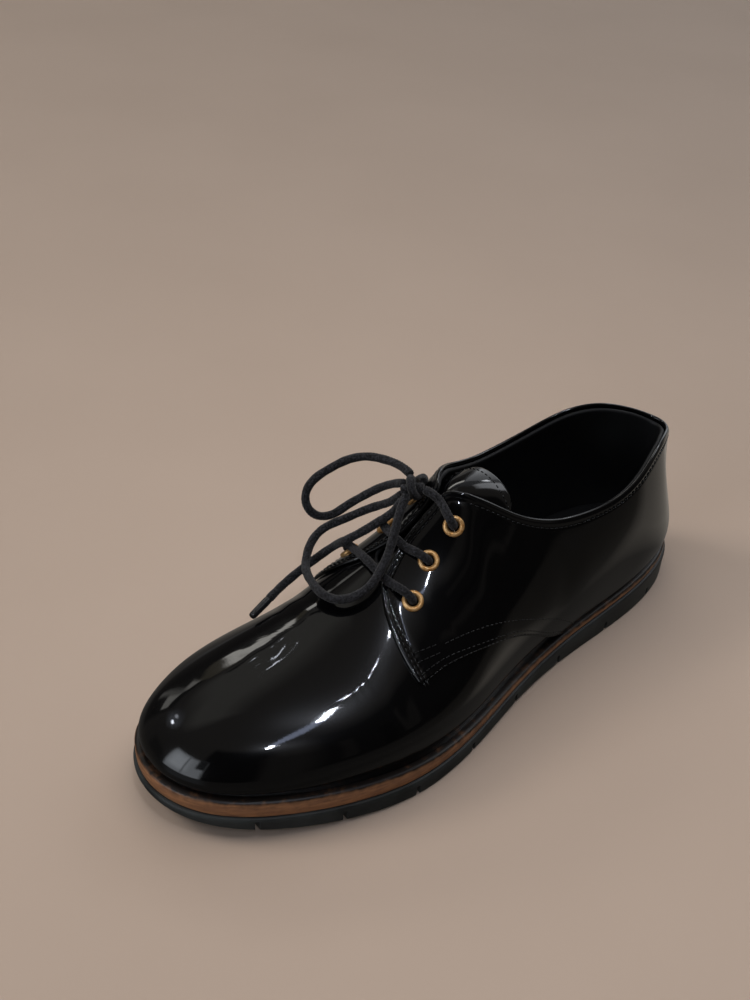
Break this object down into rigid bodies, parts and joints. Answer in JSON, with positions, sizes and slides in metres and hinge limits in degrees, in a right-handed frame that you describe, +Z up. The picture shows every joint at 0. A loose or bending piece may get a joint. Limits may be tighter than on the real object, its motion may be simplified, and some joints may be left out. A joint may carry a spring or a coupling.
{
  "type": "oxford shoe",
  "caption": "Left derby-cut oxford shoe in black patent leather: hollow lined upper, laced quarters over a tongue, brown midsole and a flat notched rubber sole.",
  "frame": {"origin": "On the ground, below the middle of the outsole's bounding box", "axes": "+X to the toe, +Y to the outer (lateral) side of the foot, which is the wearer's left on this left shoe, +Z up"},
  "size_m": [0.265, 0.0968, 0.091],
  "materials": {
    "patent_black": "black patent leather with a mirror-like gloss",
    "lining_black": "matte black lining leather",
    "sole_black": "matte dark grey-black rubber",
    "welt_brown": "brown, slightly satin",
    "lace_black": "round knitted cotton cord, charcoal",
    "brass": "polished brass"
  },
  "bodies": {
    "root": {"outsole": "sole_black", "midsole": "welt_brown", "insole": "lining_black", "upper": "patent_black", "quarter_outer": "patent_black", "quarter_inner": "patent_black", "tongue": "patent_black", "eyelet_inner_1": "brass", "eyelet_inner_2": "brass", "eyelet_inner_3": "brass", "eyelet_outer_1": "brass", "eyelet_outer_2": "brass", "eyelet_outer_3": "brass", "lace_bar_low": "lace_black", "lace_bar_middle": "lace_black", "lace_top_outer": "lace_black", "lace_top_inner": "lace_black", "lace_knot": "lace_black", "lace_loop_a": "lace_black", "lace_loop_b": "lace_black", "lace_end_a": "lace_black", "lace_end_b": "lace_black", "lace_tip_a": "lace_black", "lace_tip_b": "lace_black"}
  },
  "joints": []
}
